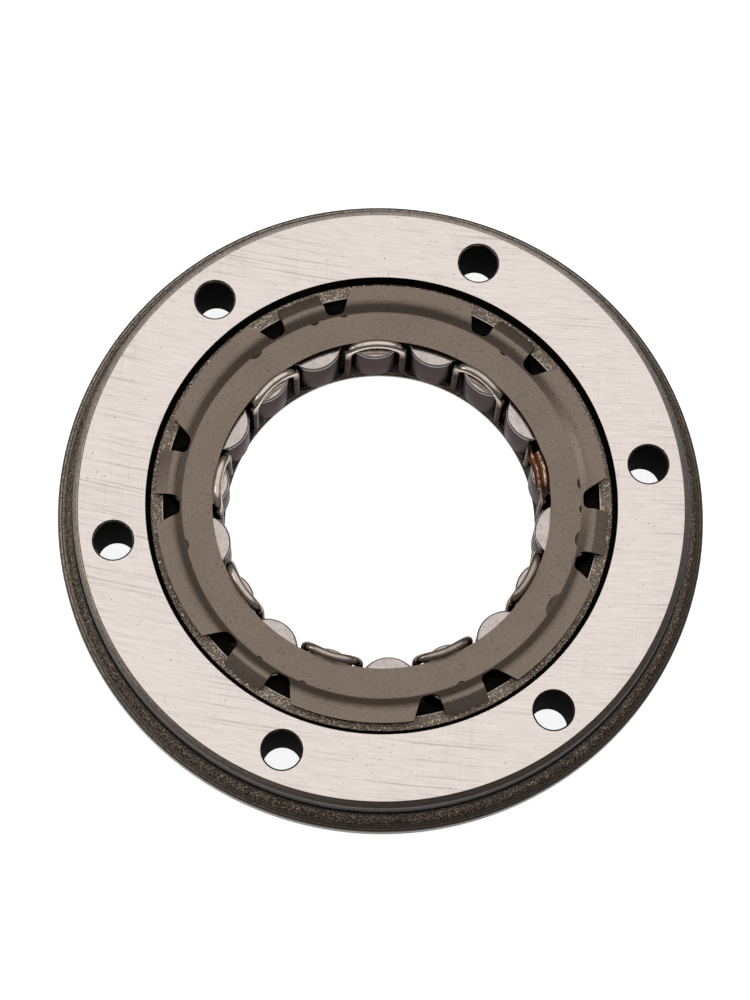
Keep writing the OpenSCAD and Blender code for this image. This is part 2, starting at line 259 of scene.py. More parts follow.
def closed_outline(bm, corners, segments=4):
    """Draws a closed outline of (radius, height, rounding) corners in the XZ plane and rounds each corner."""
    verts = [bm.verts.new((r, 0, z)) for r, z, rounding in corners]
    for a, b in zip(verts, verts[1:] + verts[:1]):
        bm.edges.new((a, b))
    round_corners(bm, verts, [c[2] for c in corners], segments)


def round_corners(bm, verts, roundings, segments):
    """Rounds each vertex of a line by its own distance."""
    for rounding in sorted(set(roundings) - {0}):
        chosen = [v for v, r in zip(verts, roundings) if r == rounding]
        bmesh.ops.bevel(bm, geom=chosen, offset=rounding, segments=segments, profile=0.5,
                        affect="VERTICES", material=-1)


def lathe(bm, steps):
    """Turns everything drawn so far round the Z axis into a closed skin."""
    bmesh.ops.spin(bm, geom=bm.verts[:] + bm.edges[:], cent=(0, 0, 0), axis=(0, 0, 1), dvec=(0, 0, 0),
                   angle=math.tau, steps=steps, use_merge=True)
    bmesh.ops.remove_doubles(bm, verts=bm.verts[:], dist=MICRON)
    bmesh.ops.dissolve_degenerate(bm, edges=bm.edges[:], dist=MICRON / 10)
    bmesh.ops.recalc_face_normals(bm, faces=bm.faces[:])


def arc(centre, radius, start, end, steps=24):
    """Points (x, y) on an arc about a centre, from one angle in degrees to another."""
    turns = [math.radians(start + (end - start) * k / steps) for k in range(steps + 1)]
    return [(centre[0] + radius * math.cos(a), centre[1] + radius * math.sin(a)) for a in turns]


def prism(bm, points, low, high, rounding=0, segments=16):
    """Raises a flat outline of (x, y) points from low to high, with each corner rounded by a distance."""
    verts = [bm.verts.new((x, y, low)) for x, y in points]
    bm.faces.new(verts)
    round_corners(bm, verts, [rounding] * len(verts), segments)
    raised = bmesh.ops.extrude_face_region(bm, geom=bm.faces[:])
    top = [v for v in raised["geom"] if isinstance(v, bmesh.types.BMVert)]
    bmesh.ops.translate(bm, verts=top, vec=(0, 0, high - low))
    bmesh.ops.recalc_face_normals(bm, faces=bm.faces[:])


def placed(bm, copies, matrices):
    """Adds the mesh of one small shape to a bigger one, once for each matrix."""
    shape = bpy.data.meshes.new("shape")
    copies.to_mesh(shape)
    copies.free()
    for matrix in matrices:
        start = len(bm.verts)
        bm.from_mesh(shape)
        bm.verts.ensure_lookup_table()
        bmesh.ops.transform(bm, matrix=matrix, verts=bm.verts[start:])
    bpy.data.meshes.remove(shape)


def as_object(name, bm, materials=()):
    """Makes an object at the origin out of a mesh in progress."""
    mesh = bpy.data.meshes.new(name)
    bm.to_mesh(mesh)
    bm.free()
    piece = bpy.data.objects.new(name, mesh)
    bpy.context.scene.collection.objects.link(piece)
    for material in materials:
        mesh.materials.append(material)
    return piece


def settle(piece):
    """Puts a piece's modifiers into its mesh."""
    graph = bpy.context.evaluated_depsgraph_get()
    mesh = bpy.data.meshes.new_from_object(piece.evaluated_get(graph))
    piece.modifiers.clear()
    old = piece.data
    piece.data = mesh
    bpy.data.meshes.remove(old)


def carve(piece, tool, operation="DIFFERENCE"):
    """Cuts a tool out of a piece, or joins it on, and clears the tool away."""
    cut = piece.modifiers.new("cut", "BOOLEAN")
    cut.object = tool
    cut.operation = operation
    cut.solver = "EXACT"
    settle(piece)
    bpy.data.objects.remove(tool)


def shade(piece, degrees=32):
    """Shades a piece smooth, apart from its sharp edges."""
    piece.data.shade_smooth()
    piece.data.set_sharp_from_angle(angle=math.radians(degrees))


def dress(piece, body, slot, *nodes):
    """Makes a piece ride on its body and stand for its nodes."""
    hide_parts(*nodes)
    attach(piece, body)


# Material helpers

def new_material(name, **sockets):
    """A material with one Principled shader, whose even values are set on its own sockets."""
    material = bpy.data.materials.new(name)
    material.use_nodes = True
    tree = material.node_tree
    shader = tree.nodes["Principled BSDF"]
    for socket, value in sockets.items():
        shader.inputs[socket.replace("_", " ")].default_value = value
    return material, tree, shader


def add(tree, kind, inputs=None, **settings):
    """Adds a node with its settings, and links or fills its inputs."""
    node = tree.nodes.new(kind)
    for name, value in settings.items():
        setattr(node, name, value)
    for key, value in (inputs or {}).items():
        if isinstance(value, bpy.types.NodeSocket):
            tree.links.new(value, node.inputs[key])
        else:
            node.inputs[key].default_value = value
    return node


def object_place(tree):
    """Object coordinates."""
    return add(tree, "ShaderNodeTexCoord").outputs["Object"]


def split(tree, vector):
    """The x, y and z of a vector."""
    return add(tree, "ShaderNodeSeparateXYZ", {0: vector}).outputs


def scaled(tree, vector, size_mm):
    """A vector with one unit for each stated size in millimetres."""
    scale = tuple(1 / (s * MM) for s in size_mm)
    return add(tree, "ShaderNodeMapping", {"Vector": vector, "Scale": scale}).outputs[0]


def remap(tree, value, low=0.0, high=1.0, to_low=0.0, to_high=1.0, **settings):
    """A value spread so that low and high become to_low and to_high, and held between them."""
    limits = {"Value": value, "From Min": low, "From Max": high, "To Min": to_low, "To Max": to_high}
    return add(tree, "ShaderNodeMapRange", limits, **settings).outputs[0]


def grain(tree, vector, low, high, detail=2.0, roughness=0.5):
    """Noise on a vector, spread so that low and high become 0 and 1."""
    noise = add(tree, "ShaderNodeTexNoise",
                {"Vector": vector, "Scale": 1.0, "Detail": detail, "Roughness": roughness})
    return remap(tree, noise.outputs[0], low, high)


def speckle(tree, size_mm, low, high, detail=2.0, roughness=0.5):
    """Noise of one real size in every direction, spread so that low and high become 0 and 1."""
    return grain(tree, scaled(tree, object_place(tree), [size_mm] * 3), low, high, detail, roughness)


def blend_colours(tree, factor, a, b):
    """Mixes two colours by a factor."""
    mix = add(tree, "ShaderNodeMix", {"Factor": factor}, data_type="RGBA")
    for slot, value in ((6, a), (7, b)):
        if isinstance(value, bpy.types.NodeSocket):
            tree.links.new(value, mix.inputs[slot])
        else:
            mix.inputs[slot].default_value = (*value, 1)
    return mix.outputs[2]


def times(tree, a, b):
    """Product of two values."""
    return add(tree, "ShaderNodeMath", {0: a, 1: b}, operation="MULTIPLY").outputs[0]


def plus(tree, a, b):
    """Sum of two values, held between 0 and 1."""
    return add(tree, "ShaderNodeMath", {0: a, 1: b}, operation="ADD", use_clamp=True).outputs[0]


def measure(tree, operation, a, b=(0, 0, 0)):
    """A number out of two vectors, such as their distance."""
    return add(tree, "ShaderNodeVectorMath", {0: a, 1: b}, operation=operation).outputs["Value"]


def wheel_lines(tree, size_mm, centre_mm):
    """Coordinates along the wide arcs that a big grinding wheel leaves, which run round a far centre."""
    place = object_place(tree)
    x, y, z = split(tree, place)
    away = measure(tree, "DISTANCE", place, tuple(c * MM for c in centre_mm))
    both = add(tree, "ShaderNodeCombineXYZ", {0: x, 1: away, 2: z}).outputs[0]
    return scaled(tree, both, size_mm)


def painted_left_light(tree, lowest):
    """Painted light: 1 on the far left of the part, falling to lowest on the near right."""
    along = measure(tree, "DOT_PRODUCT", object_place(tree), (-0.6, 0.8, 0))
    return remap(tree, along, -40 * MM, 25 * MM, lowest)


def coat(tree, shader, colour):
    """Gives the surface a colour that changes over it."""
    tree.links.new(colour, shader.inputs["Base Color"])


def relief(tree, shader, height, depth_mm):
    """Bump whose full height is a real depth in millimetres."""
    bump = add(tree, "ShaderNodeBump", {"Height": height, "Distance": depth_mm * MM, "Strength": 1.0})
    tree.links.new(bump.outputs[0], shader.inputs["Normal"])


def ring_lines(tree, spacing_mm):
    """Coordinates that change only with the distance from the Z axis and with height, as turning marks do."""
    x, y, z = split(tree, object_place(tree))
    flat = add(tree, "ShaderNodeCombineXYZ", {0: x, 1: y}).outputs[0]
    radius = measure(tree, "LENGTH", flat)
    both = add(tree, "ShaderNodeCombineXYZ", {0: radius, 1: z}).outputs[0]
    return scaled(tree, both, [spacing_mm] * 3)


# Finishes

def ground_steel(finish):
    """Surface-ground steel: arcs of fine scratches, a few longer lines, faint ones across, and small pits."""
    material, tree, shader = new_material("Ground steel", Metallic=1.0)
    wheel = (61, 461, 0)
    fine = grain(tree, wheel_lines(tree, (4, 0.3, 8), wheel), 0.3, 0.75, 3.0, 0.65)
    long = grain(tree, wheel_lines(tree, (34, 0.4, 8), wheel), 0.56, 0.68, 2.0, 0.55)
    askew = (0, 0, math.radians(4))
    turned = add(tree, "ShaderNodeMapping", {"Vector": object_place(tree), "Rotation": askew}).outputs[0]
    cross = grain(tree, scaled(tree, turned, (0.35, 16, 8)), 0.5, 0.8)
    cloud = speckle(tree, 16, 0.35, 0.65)
    marks = plus(tree, times(tree, fine, 0.42), times(tree, times(tree, long, cloud), 0.9))
    marks = plus(tree, marks, times(tree, times(tree, cross, cloud), 0.3))
    colour = blend_colours(tree, marks, finish.ground, finish.ground_deep)
    pits = grain(tree, scaled(tree, object_place(tree), (0.42, 0.36, 0.42)), 0.745, 0.78, 1.0)
    coat(tree, shader, blend_colours(tree, pits, colour, finish.pit))
    tree.links.new(remap(tree, fine, to_low=0.32, to_high=0.42), shader.inputs["Roughness"])
    relief(tree, shader, fine, 0.003)
    return material


def forged_skin(name, dark, worn, worn_share, foot=None):
    """Forged and shot-blasted skin: dark oxide over steel, pebbly, and bare on the crests.

    Next to an inner corner of radius foot the bare grains fade out, so the skin is painted black there:
    painted shade in the corner.
    """
    material, tree, shader = new_material(name, Metallic=0.85, Roughness=0.42)
    pebble = speckle(tree, 0.32, 0.38, 0.64, 2.0, 0.6)
    patch = speckle(tree, 5, 0.3, 0.7)
    crest = add(tree, "ShaderNodeMath", {0: pebble, 1: 1.6}, operation="POWER").outputs[0]
    bare = times(tree, crest, worn_share)
    bare = times(tree, bare, remap(tree, patch, to_low=0.7))
    if foot:
        # Painted shade: the bare grains fade out next to the corner at foot.
        radius = split(tree, ring_lines(tree, 1))[0]
        bare = times(tree, bare, remap(tree, radius, foot / MM + 0.15, foot / MM + 0.8))
    coat(tree, shader, blend_colours(tree, bare, dark, worn))
    relief(tree, shader, pebble, 0.11)
    return material


def turned_steel(finish, name, least):
    """Turned steel with a brown film: rings about the axis whose crests are bright, with painted light that
    brightens them on the far left and dims them to least on the near right.
    """
    material, tree, shader = new_material(name, Metallic=0.95, Roughness=0.36)
    rings = grain(tree, ring_lines(tree, 0.22), 0.4, 0.62, 2.0, 0.6)
    grit = speckle(tree, 0.4, 0.2, 0.65, 2.0, 0.6)
    # Painted light: the crests are brightest on the far left and fall to least on the near right.
    crest = times(tree, times(tree, rings, grit), painted_left_light(tree, least))
    coat(tree, shader, blend_colours(tree, crest, finish.turned, finish.turned_bright))
    relief(tree, shader, rings, 0.06)
    return material


def fine_turned_steel(finish):
    """Fine turned register: smooth grey-blue steel with barely visible rings."""
    material, tree, shader = new_material("Fine turned steel", Metallic=0.9, Roughness=0.33)
    rings = grain(tree, ring_lines(tree, 0.2), 0.3, 0.8)
    coat(tree, shader, blend_colours(tree, rings, finish.turned, finish.register))
    relief(tree, shader, rings, 0.004)
    return material


def oil_and_shade_steel(finish, name, colour, other):
    """Steel out of reach of the wheel: dark, partly with oil and partly with painted shade, and a little
    uneven.
    """
    material, tree, shader = new_material(name, Metallic=0.0, Roughness=0.8, Specular_IOR_Level=0.02)
    uneven = speckle(tree, 0.9, 0.35, 0.75, 3.0, 0.6)
    coat(tree, shader, blend_colours(tree, uneven, colour, other))
    relief(tree, shader, uneven, 0.02)
    return material


def phosphated_sheet(name, sheet, dark, speck):
    """Phosphated sheet steel: warm grey with a dull shine, a fine crystalline grain and sparse dark specks.

    Where a punch has pressed it, the sheet is given a darker brown: painted shade.
    """
    material, tree, shader = new_material(name, Metallic=0.95, Roughness=0.34)
    crystals = speckle(tree, 0.28, 0.38, 0.72, 2.0, 0.6)
    patch = speckle(tree, 7, 0.3, 0.7)
    specks = speckle(tree, 0.5, 0.66, 0.72, 1.0)
    base = blend_colours(tree, times(tree, crystals, 0.5), sheet, dark)
    base = blend_colours(tree, times(tree, patch, 0.2), base, dark)
    coat(tree, shader, blend_colours(tree, times(tree, specks, 0.4), base, speck))
    relief(tree, shader, crystals, 0.01)
    return material


def near_lap(tree, centre, reach):
    """1 at the lapped joint of the spring, falling to 0 at a real distance from it."""
    return remap(tree, measure(tree, "DISTANCE", object_place(tree), centre), reach, reach * 0.55)


def braze_coat(tree, finish):
    """Colour of braze: scorched brown, with a painted highlight of bright copper where the surface faces up.
    """
    facing = split(tree, add(tree, "ShaderNodeTexCoord").outputs["Normal"])[2]
    # Painted highlight wherever the surface faces up.
    painted_highlight = remap(tree, facing, 0.93)
    scorch = speckle(tree, 0.7, 0.62, 0.4, 2.0, 0.6)
    clean = remap(tree, scorch, to_low=0.05)
    return blend_colours(tree, times(tree, painted_highlight, clean), finish.braze_dark, finish.braze)


def drawn_wire(finish, centre):
    """Bright, glossy drawn spring wire with stains: painted light makes it lighter on the far left, painted
    shade darkens its legs towards the bottom, and next to the braze it is browned by heat and carries the
    braze's painted highlight.
    """
    material, tree, shader = new_material("Drawn wire", Metallic=1.0, Specular_Tint=(0.45, 0.43, 0.42, 1))
    stain = speckle(tree, 1.6, 0.5, 0.75, 3.0, 0.65)
    fine = speckle(tree, 0.25, 0.4, 0.75)
    # Painted light: lighter on the far left, nearer the stain colour on the near right.
    colour = blend_colours(tree, painted_left_light(tree, 0.1), finish.wire_stain_and_shade, finish.wire)
    colour = blend_colours(tree, times(tree, stain, 0.6), colour, finish.wire_stain_and_shade)
    # Painted shade: darker towards the bottom of the legs.
    film = remap(tree, split(tree, object_place(tree))[2], 14.6 * MM, 11 * MM)
    colour = blend_colours(tree, film, colour, finish.wire_leg_shade)
    heat = near_lap(tree, centre, 6.2 * MM)
    coat(tree, shader, blend_colours(tree, heat, colour, braze_coat(tree, finish)))
    tree.links.new(remap(tree, fine, to_low=0.16, to_high=0.3), shader.inputs["Roughness"])
    relief(tree, shader, fine, 0.003)
    return material


def copper_braze(finish):
    """Copper braze: glossy, with lumps where it flowed and flux burned on, and a painted highlight where it
    faces up.
    """
    material, tree, shader = new_material("Copper braze", Metallic=0.9, Roughness=0.2)
    coat(tree, shader, braze_coat(tree, finish))
    relief(tree, shader, speckle(tree, 0.7, 0.38, 0.62, 2.0, 0.6), 0.03)
    return material


def roller_end_steel(finish):
    """Ground end of a hardened roller: pale and satin, with soft grey blotches and fine darker flecks."""
    material, tree, shader = new_material("Roller end", Metallic=1.0, Roughness=0.17)
    blotch = speckle(tree, 1.3, 0.42, 0.7, 3.0, 0.65)
    fleck = speckle(tree, 0.26, 0.58, 0.68, 1.0)
    colour = blend_colours(tree, times(tree, blotch, 0.7), finish.roller_end, finish.roller_blotch)
    coat(tree, shader, blend_colours(tree, times(tree, fleck, 0.5), colour, finish.wire_stain_and_shade))
    relief(tree, shader, blotch, 0.003)
    return material


def roller_edge_steel(finish):
    """Ground chamfer of a roller: clean and bright, so that it draws a crisp line round the end."""
    edge = (*finish.roller_edge, 1)
    return new_material("Roller edge", Metallic=1.0, Roughness=0.22, Base_Color=edge)[0]


def roller_side_steel(finish):
    """Hardened and polished side of a roller: dark grey, partly its own tone and partly a painted reflection
    of dark surroundings, with a soft sheen, faint marks round it, and oil.
    """
    material, tree, shader = new_material("Roller side", Metallic=1.0, Roughness=0.3,
                                          Specular_Tint=(0.4, 0.37, 0.37, 1))
    bands = grain(tree, scaled(tree, object_place(tree), (6, 6, 0.4)), 0.35, 0.7)
    coat(tree, shader, blend_colours(tree, times(tree, bands, 0.3), finish.roller_side, finish.hollow))
    return material


# Pieces

class CLUTCH_OT_race(bpy.types.Operator):
    """Builds the outer race, turned from one outline and then drilled and milled"""
    bl_idname = "clutch.race"
    bl_label = "Outer race"

    def execute(self, context):
        size, finish = context.scene.clutch.race, context.scene.clutch.finish
        materials = [ground_steel(finish),
                     forged_skin("Forged skin", finish.forged, finish.forged_worn, 0.9, size.register_r),
                     turned_steel(finish, "Turned steel", 0.2), fine_turned_steel(finish),
                     forged_skin("Blasted ledge", finish.ledge, finish.ledge_worn, 1.3),
                     oil_and_shade_steel(finish, "Oil and shade hollow", finish.hollow, finish.forged),
                     oil_and_shade_steel(finish, "Drilled wall shade", finish.hole, finish.hollow),
                     turned_steel(finish, "Turned bevel", 0.05)]
        bm = bmesh.new()
        closed_outline(bm, self.corners(size))
        lathe(bm, size.steps)
        self.paint(bm, size)
        race = as_object("ring_forging", bm, materials)
        tools = bmesh.new()
        self.add_hole_drills(tools, size)
        self.add_ramp_cutters(tools, size)
        carve(race, as_object("race_tools", tools, materials))
        shade(race)
        dress(race, "outer_race", "race_steel", "outer_race")
        return {"FINISHED"}

    def corners(self, size):
        """Corners of the section with their roundings, from the rear lip outwards and back over the front."""
        top, soft, crisp = RACE_HIGH.z, 0.25 * MM, 0.06 * MM
        ledge_z = PLATE_LOW.z
        return [
            (size.lip_r, 0, size.chamfer), (size.rear_r, 0, size.chamfer),
            (size.rear_r, size.rim_low_z, soft), (RACE_HIGH.x, size.rim_low_z, soft),
            (RACE_HIGH.x, size.rim_z, soft), (size.shoulder_r, size.rim_z, soft),
            (size.register_r, size.register_z, 0.45 * MM),
            (size.register_r, top - (size.register_r - size.face_r), crisp),
            (size.face_r, top, crisp), (size.groove_r, top, crisp),
            (size.groove_r, ledge_z - 0.05 * MM, 0), (size.groove_r, ledge_z - 0.3 * MM, 0),
            (size.groove_r, size.groove_z, soft), (size.ledge_r, size.groove_z, soft),
            (size.ledge_r, ledge_z, 0.15 * MM), (size.throat_r, ledge_z, 0.15 * MM),
            (size.throat_r, size.lobe_top_z, 0), (size.lobe_tip_r, size.lobe_top_z, crisp),
            (size.lobe_tip_r, size.lobe_low_z, crisp), (size.throat_r, size.lobe_low_z, 0),
            (size.throat_r, size.lip_t, 0), (size.lip_r, size.lip_t, crisp),
        ]

    def paint(self, bm, size):
        """Gives each band of the ring its own finish, by where the band lies."""
        top, ledge_z = RACE_HIGH.z, PLATE_LOW.z
        hair, bevel = 0.1 * MM, size.register_r - size.face_r
        for face in bm.faces:
            middle = face.calc_center_median()
            radius, z = math.hypot(middle.x, middle.y), middle.z
            if z > top - 0.3 * hair:
                finish = GROUND
            elif radius > size.face_r and z > top - bevel:
                finish = BEVELLED
            elif radius > size.face_r and z > size.register_z + 3 * hair:
                finish = FINE
            elif size.register_r - hair < radius < size.register_r + 3 * hair and z > size.rim_z + hair:
                # Painted shade and oil: the corner at the foot of the register is painted dark.
                finish = OIL_AND_SHADE
            elif radius > size.register_r - hair and z > size.rim_z + hair:
                finish = FORGED
            elif radius > size.register_r:
                finish = TURNED
            elif abs(radius - size.groove_r) < 0.2 * hair and -3 * hair < z - ledge_z < -0.5 * hair:
                finish = TURNED
            elif -0.5 * hair < radius - size.throat_r < 1.3 * hair and z > ledge_z - 1.5 * hair:
                finish = GROUND
            elif radius < size.ledge_r + 0.5 * hair and z > ledge_z - 2 * hair:
                finish = BLASTED
            elif z < size.lip_t + hair:
                finish = TURNED
            else:
                # Painted shade and oil: the groove, the pockets and the inside of the race are painted dark.
                finish = OIL_AND_SHADE
            face.material_index = finish

    def add_hole_drills(self, tools, size):
        """Drills with a countersink at each mouth, one for each bolt hole."""
        drill = bmesh.new()
        over, top = size.chamfer, RACE_HIGH.z
        wide = size.bolt_r + 2 * size.chamfer
        closed_outline(drill, [(0, -over, 0), (wide, -over, 0), (size.bolt_r, over, 0),
                               (size.bolt_r, top - over, 0), (wide, top + over, 0), (0, top + over, 0)])
        lathe(drill, 64)
        for face in drill.faces:
            # Painted shade: the hole walls are painted black; the countersinks get the bevel finish.
            face.material_index = BEVELLED if 0.3 < abs(face.normal.z) < 0.9 else DRILLED_SHADE
        turns = [size.bolt_phase + i * math.tau / size.bolt_n for i in range(size.bolt_n)]
        placed(tools, drill, [Matrix.Rotation(a, 4, "Z") @ Matrix.Translation((size.bolt_circle_r, 0, 0))
                              for a in turns])

    def add_ramp_cutters(self, tools, size):
        """Long round-ended cutters, one for each roller, each along the slope of its ramp."""
        cutter = bmesh.new()
        radius = ROLLER_R + size.pocket_slack
        low = size.ramp_gap - size.pocket_slack - radius
        x0, x1 = -size.pocket_ahead - radius, size.pocket_back + radius
        corners = [(x0, low), (x1, low), (x1, low + 2 * radius), (x0, low + 2 * radius)]
        over, almost_round = 0.5 * MM, 0.995
        prism(cutter, corners, size.lobe_low_z - over, size.lobe_top_z + over, radius * almost_round)
        for face in cutter.faces:
            # Painted shade and oil in the pockets.
            face.material_index = OIL_AND_SHADE
        quarter = math.radians(90)
        placed(tools, cutter, [
            Matrix.Rotation(PHASE + i * PITCH - quarter, 4, "Z") @ Matrix.Translation((0, CENTRE_R, 0))
            @ Matrix.Rotation(size.ramp_angle, 4, "Z") for i in range(len(ROLLERS))])


class CLUTCH_OT_side_plate(bpy.types.Operator):
    """Builds the stamped side plate with its raised rim, six tabs and press marks"""
    bl_idname = "clutch.side_plate"
    bl_label = "Side plate"

    def execute(self, context):
        size, finish = context.scene.clutch.plate, context.scene.clutch.finish
        materials = [phosphated_sheet("Phosphated sheet", finish.sheet, finish.sheet_dark, finish.forged),
                     oil_and_shade_steel(finish, "Sheared edge shade", finish.hollow, finish.forged),
                     phosphated_sheet("Press mark shade", finish.sheet_press_shade, finish.forged, finish.forged)]
        flat, ridge = PLATE_LOW.z + size.sheet_t, PLATE_HIGH.z
        bend = flat + size.bend_rise
        crest = bend + (ridge - bend) * (size.crest_w - size.bend_w) / (size.step_w - size.bend_w)
        start = [(size.bore_r, flat, 0), (size.step_r, flat, size.foot_ease),
                 (size.step_r + size.bend_w, bend, size.step_ease)]
        rim = self.ring("stamped_plate", start + [
            (size.step_r + size.step_w, ridge, size.crest_ease), (size.rim_r, ridge, 0)], size, materials)
        carve(rim, self.press_tools(size, flat, materials))
        carve(rim, self.windows(size))
        tabs = self.ring("tab_ring", start + [
            (size.step_r + size.crest_w, crest, size.crest_ease),
            (size.rim_r + size.tab_reach, flat, 0)], size, materials)
        carve(tabs, self.press_tools(size, flat, materials))
        carve(tabs, self.tab_blocks(size), "INTERSECT")
        carve(rim, tabs, "UNION")
        for face in rim.data.polygons:
            # Painted shade: the steep sheared edges are painted dark.
            if abs(face.normal.z) < 0.4 and face.material_index != PRESS_MARK_SHADE:
                face.material_index = SHEARED_SHADE
        shade(rim, 20)
        dress(rim, "outer_race", "plate_steel", "side_plate")
        return {"FINISHED"}

    def ring(self, name, path, size, materials):
        """A sheet ring whose upper side follows a path of (radius, height, bend), of an even thickness."""
        bm = bmesh.new()
        verts = [bm.verts.new((r, 0, z)) for r, z, bend in path]
        for a, b in zip(verts, verts[1:]):
            bm.edges.new((a, b))
        round_corners(bm, verts, [bend for r, z, bend in path], size.bend_steps)
        bmesh.ops.spin(bm, geom=bm.verts[:] + bm.edges[:], cent=(0, 0, 0), axis=(0, 0, 1), dvec=(0, 0, 0),
                       angle=math.tau, steps=size.steps, use_merge=True)
        bmesh.ops.recalc_face_normals(bm, faces=bm.faces[:])
        if sum(f.normal.z for f in bm.faces) < 0:
            bmesh.ops.reverse_faces(bm, faces=bm.faces[:])
        ring = as_object(name, bm, materials)
        sheet = ring.modifiers.new("sheet", "SOLIDIFY")
        sheet.thickness = size.sheet_t
        sheet.offset = -1
        sheet.use_even_offset = True
        settle(ring)
        return ring

    def tab_turns(self, size):
        """Turn of each tab about the axis."""
        return [PHASE + 2 * PITCH + i * math.tau / size.tab_n for i in range(size.tab_n)]

    def windows(self, size):
        """Tools that free the six tabs, each with a round-ended notch on both sides that opens outwards."""
        tools, window = bmesh.new(), bmesh.new()
        foot = Vector((size.notch_foot_r, size.tab_w / 2 + size.notch_r))
        turn = size.notch_flat / foot.length
        inwards = 180 + math.degrees(math.atan2(foot.y, foot.x))
        other = Matrix.Rotation(turn, 2) @ foot
        half = arc(foot, size.notch_r, 270, inwards, 12)
        half += arc(other, size.notch_r, inwards + math.degrees(turn), 90 + math.degrees(size.notch_lean), 16)
        far = size.rim_r + MM
        half.append((far, half[-1][1] + (far - half[-1][0]) * math.tan(size.notch_lean)))
        prism(window, half + [(x, -y) for x, y in reversed(half)], PLATE_LOW.z - MM, PLATE_HIGH.z + MM)
        placed(tools, window, [Matrix.Rotation(a, 4, "Z") for a in self.tab_turns(size)])
        return as_object("windows", tools)

    def tab_blocks(self, size):
        """Blocks that keep only the six tabs of a whole ring."""
        tools, block = bmesh.new(), bmesh.new()
        half_w, inner, far = size.tab_w / 2, size.step_r - 0.5 * MM, size.rim_r + 2 * MM
        prism(block, [(inner, -half_w), (far, -half_w), (far, half_w), (inner, half_w)],
              PLATE_LOW.z - MM, PLATE_HIGH.z + MM)
        placed(tools, block, [Matrix.Rotation(a, 4, "Z") for a in self.tab_turns(size)])
        return as_object("tab_blocks", tools)

    def press_tools(self, size, flat, materials):
        """Pointed punches that dent the flat at the foot of the step, from (degrees, length in mm)."""
        marks = [(5.6, 1.7), (51.6, 1.2), (100.6, 1.1), (109.4, 1.4), (128.9, 2.2), (192.2, 1.7),
                 (232.4, 0.9), (246.5, 1.1), (292.5, 1.2), (328.3, 3.8), (349.1, 2.3), (358.0, 1.2)]
        tools = bmesh.new()
        for degrees, long in marks:
            depth, clear = size.nick_depth, 0.05 * MM
            punch = bmesh.new()
            closed_outline(punch, [(0, -depth, 0), (long * MM, depth, 0), (0, depth, 0)])
            lathe(punch, 48)
            bmesh.ops.scale(punch, vec=(size.nick_flat, 1, 1), verts=punch.verts[:])
            cut = bmesh.ops.bisect_plane(punch, geom=punch.verts[:] + punch.edges[:] + punch.faces[:],
                                         plane_co=(clear, 0, 0), plane_no=(1, 0, 0), clear_outer=True)
            brim = [e for e in cut["geom_cut"] if isinstance(e, bmesh.types.BMEdge)]
            bmesh.ops.holes_fill(punch, edges=brim, sides=0)
            bmesh.ops.delete(punch, geom=[e for e in punch.edges if e.is_wire], context="EDGES")
            bmesh.ops.recalc_face_normals(punch, faces=punch.faces[:])
            for face in punch.faces:
                # Painted shade: the punch's faces carry the darker press-mark colour into the dent.
                face.material_index = PRESS_MARK_SHADE
            lift = Matrix.Translation((size.step_r, 0, flat))
            placed(tools, punch, [Matrix.Rotation(math.radians(degrees), 4, "Z") @ lift])
        return as_object("press_tools", tools, materials)


def bend_point(size, i, x, drop=0, inward=0, lift=0):
    """A point of bend i of the spring, x of the way to its end, dropped, moved inwards or lifted."""
    front = i % 2 == 0
    square = size.front_square if front else size.rear_square
    rise = (1 - abs(x) ** square) ** (1 / square)
    swing = (size.front_bulge if front else -size.rear_bulge) * (1 - abs(x) ** 1.5)
    if front:
        z = size.front_z - size.front_h + (size.front_h - drop + lift) * rise
    else:
        z = size.rear_z + size.rear_h * (1 - rise)
    radius = size.leg_r + swing + lift - inward * min(1, (1 - abs(x)) / size.lap_ease)
    turn = PHASE + i * PITCH + (size.front_half if front else size.rear_half) * x
    return Vector((radius * math.cos(turn), radius * math.sin(turn), z))


def bend_steps(square, count=20):
    """Places across a bend, closer together where the wire turns into its legs."""
    turns = [math.cos(math.pi * (1 - k / count)) for k in range(count + 1)]
    return [math.copysign(abs(c) ** (2 / square), c) for c in turns]


def round_bar(name, points, radii, material):
    """A round bar along points, as a curve turned into a closed mesh."""
    line = bpy.data.curves.new(name, "CURVE")
    line.dimensions = "3D"
    line.bevel_depth = 1.0
    line.bevel_resolution = 6
    line.use_fill_caps = True
    spline = line.splines.new("NURBS")
    spline.points.add(len(points) - 1)
    for point, place, radius in zip(spline.points, points, radii):
        point.co = (*place, 1)
        point.radius = radius
    spline.order_u = 4
    spline.use_endpoint_u = True
    spline.resolution_u = 3
    temporary = bpy.data.objects.new(name + "_line", line)
    bpy.context.scene.collection.objects.link(temporary)
    graph = bpy.context.evaluated_depsgraph_get()
    mesh = bpy.data.meshes.new_from_object(temporary.evaluated_get(graph))
    bpy.data.objects.remove(temporary)
    bm = bmesh.new()
    bm.from_mesh(mesh)
    bpy.data.meshes.remove(mesh)
    bmesh.ops.remove_doubles(bm, verts=bm.verts[:], dist=MICRON)
    bmesh.ops.recalc_face_normals(bm, faces=bm.faces[:])
    bar = as_object(name, bm, [material])
    shade(bar, 50)
    return bar


